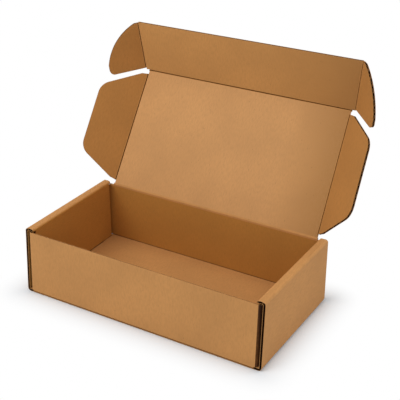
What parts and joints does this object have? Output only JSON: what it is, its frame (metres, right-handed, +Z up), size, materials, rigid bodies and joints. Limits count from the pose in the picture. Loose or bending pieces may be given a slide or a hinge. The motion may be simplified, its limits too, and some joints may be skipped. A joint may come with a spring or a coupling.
{
  "type": "cardboard box",
  "caption": "Open mailer box of corrugated board with double rolled side walls and a hinged lid that carries two wings and a tuck flap with ears.",
  "frame": {"origin": "middle of the base's underside, on the surface that the box stands on", "axes": "+X along the front to the right, +Y from the front wall to the hinged back wall, +Z up"},
  "size_m": [0.3532, 0.2368, 0.2567],
  "materials": {
    "kraft_board": "matt unprinted kraft liner"
  },
  "bodies": {
    "tray": {"tray": "kraft_board"},
    "lid": {"lid_panel": "kraft_board"},
    "tuck": {"tuck_flap": "kraft_board"},
    "left_wing": {"left_wing": "kraft_board"},
    "right_wing": {"right_wing": "kraft_board"},
    "left_ear": {"left_ear": "kraft_board"},
    "right_ear": {"right_ear": "kraft_board"}
  },
  "joints": [
    {"name": "lid_hinge", "type": "hinge", "parent": "tray", "child": "lid", "pos_m": [0, 0.077, 0.0735], "axis": [1, 0, 0], "range_deg": [-55, 53]},
    {"name": "tuck_crease", "type": "hinge", "parent": "lid", "child": "tuck", "pos_m": [0, 0.15706, 0.19678], "axis": [1, 0, 0], "range_deg": [-38, 52]},
    {"name": "left_wing_crease", "type": "hinge", "parent": "lid", "child": "left_wing", "pos_m": [-0.136, 0.077, 0.0735], "axis": [0.017, 0.5446, 0.8385], "range_deg": [-39, 51]},
    {"name": "right_wing_crease", "type": "hinge", "parent": "lid", "child": "right_wing", "pos_m": [0.136, 0.077, 0.0735], "axis": [0.017, -0.5446, -0.8385], "range_deg": [-39, 51]},
    {"name": "left_ear_crease", "type": "hinge", "parent": "tuck", "child": "left_ear", "pos_m": [-0.13825, 0.15706, 0.19678], "axis": [-0.12, -0.0865, 0.989], "range_deg": [-45, 45]},
    {"name": "right_ear_crease", "type": "hinge", "parent": "tuck", "child": "right_ear", "pos_m": [0.13825, 0.15706, 0.19678], "axis": [-0.12, 0.0865, -0.989], "range_deg": [-45, 45]}
  ]
}
